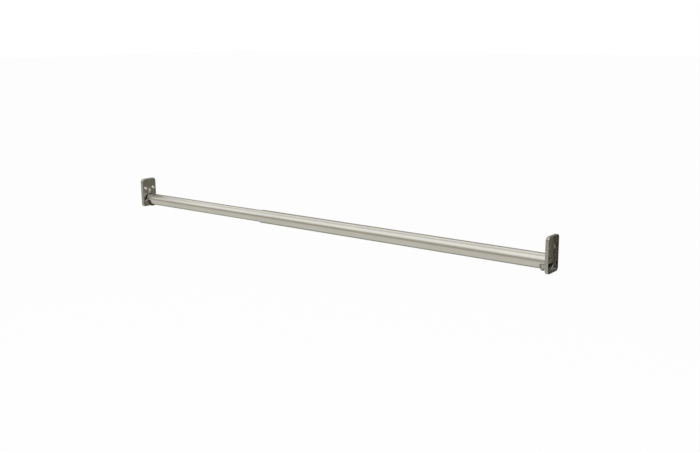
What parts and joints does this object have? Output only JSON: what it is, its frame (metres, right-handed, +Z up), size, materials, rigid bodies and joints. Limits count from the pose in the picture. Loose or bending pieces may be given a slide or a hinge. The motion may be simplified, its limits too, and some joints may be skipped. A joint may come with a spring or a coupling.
{
  "type": "adjustable closet rod",
  "caption": "Telescoping round closet rod in satin nickel: a thinner tube slides in a thicker one, and each end lies in the half-round saddle of a stamped wall flange.",
  "frame": {"origin": "on the rod's axis, at the wall that the right flange is screwed to", "axes": "+X along the rod out into the right wall, so the rod runs towards -X; +Z up; the front that the picture shows faces -Y"},
  "size_m": [1.1787, 0.0448, 0.0752],
  "materials": {
    "nickel_tube": "satin nickel plate on steel tube",
    "nickel_flange": "satin nickel plate on stamped steel sheet",
    "white_nylon": "moulded, matt"
  },
  "bodies": {
    "right_flange": {"right_flange": "nickel_flange"},
    "outer_tube": {"outer_tube": "nickel_tube", "mouth_bush": "white_nylon"},
    "inner_tube": {"inner_tube": "nickel_tube", "end_glide": "white_nylon"},
    "left_flange": {"left_flange": "nickel_flange"}
  },
  "joints": [
    {"name": "rod_turn", "type": "hinge", "parent": "right_flange", "child": "outer_tube", "pos_m": [0, 0, 0], "axis": [1, 0, 0], "continuous": true},
    {"name": "rod_slide", "type": "slide", "parent": "outer_tube", "child": "inner_tube", "axis": [-1, 0, 0], "range_m": [-0.396, 0.04]},
    {"name": "left_flange_turn", "type": "hinge", "parent": "inner_tube", "child": "left_flange", "pos_m": [-1.1658, 0, 0], "axis": [1, 0, 0], "continuous": true}
  ]
}
